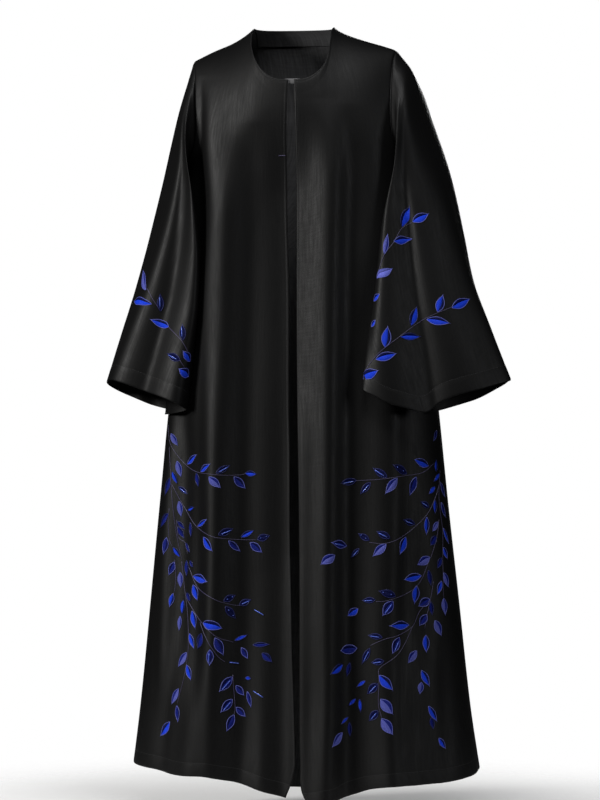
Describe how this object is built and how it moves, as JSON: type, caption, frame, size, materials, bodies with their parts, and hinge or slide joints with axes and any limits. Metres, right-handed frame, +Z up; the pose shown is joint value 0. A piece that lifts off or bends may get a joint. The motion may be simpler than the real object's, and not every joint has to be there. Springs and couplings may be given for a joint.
{
  "type": "abaya cloak",
  "caption": "Long open-fronted dark cloak with wide sleeves, a round neck tied by a small tab and embroidered leafy stems, filled out as if worn.",
  "frame": {"origin": "midway between the two high shoulder points, where the cloak rests beside the wearer's neck", "axes": "+Z up, -Y to the front of the cloak, +X to the wearer's left, which is the viewer's right"},
  "size_m": [0.7564, 0.4166, 1.4282],
  "materials": {
    "cloth": "soft black crepe with a fine slubby weave",
    "facing": "same black cloth, inside the back neck",
    "tab": "same black cloth, pressed and stitched"
  },
  "bodies": {
    "root": {"front_right": "cloth", "front_left": "cloth", "back": "cloth", "sleeve_right": "cloth", "sleeve_left": "cloth", "neck_facing": "facing", "neck_tab": "tab"}
  },
  "joints": []
}
